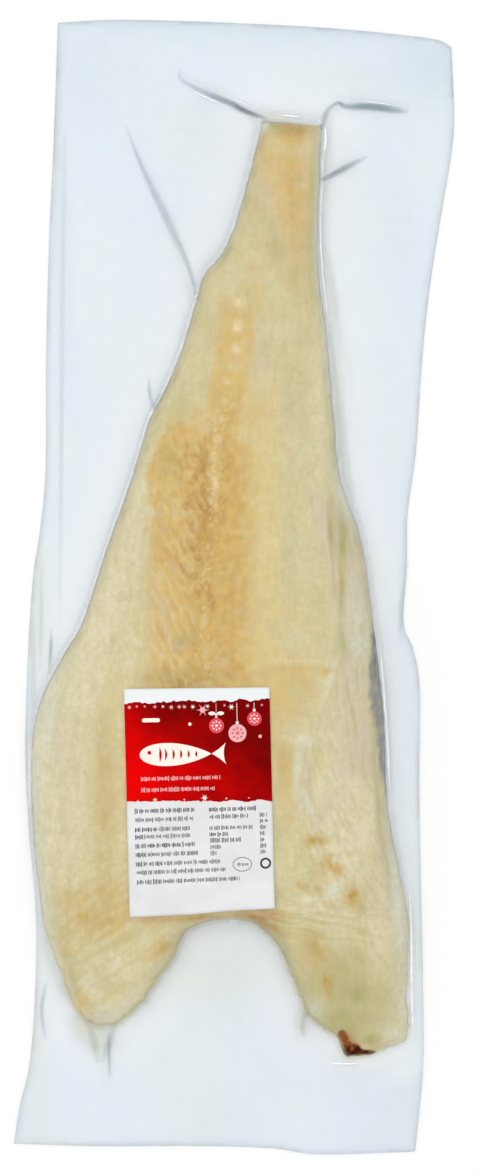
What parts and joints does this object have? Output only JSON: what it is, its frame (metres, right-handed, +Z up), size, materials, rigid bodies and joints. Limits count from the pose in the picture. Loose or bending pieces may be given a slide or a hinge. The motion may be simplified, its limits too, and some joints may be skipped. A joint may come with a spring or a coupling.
{
  "type": "vacuum-packed lutefisk",
  "caption": "Whole split side of soaked stockfish, tail cut square, two belly lobes, sealed flat in clear film, with a rectangular paper label on top.",
  "frame": {"origin": "centre of the pack's box on the surface it rests on", "axes": "+Y along the pack towards the fish's tail, +Z up out of the flesh side, +X to the right seen from above"},
  "size_m": [0.2974, 0.7662, 0.0369],
  "materials": {
    "packed_fish": "wet flesh under tight clear film",
    "label_paper": "satin",
    "film": "clear, glossy",
    "flesh": "moist, slightly translucent",
    "skin": "wet, silvery grey",
    "label_print": "satin ink"
  },
  "bodies": {
    "root": {"bag": "packed_fish", "label": "label_paper"}
  },
  "joints": []
}
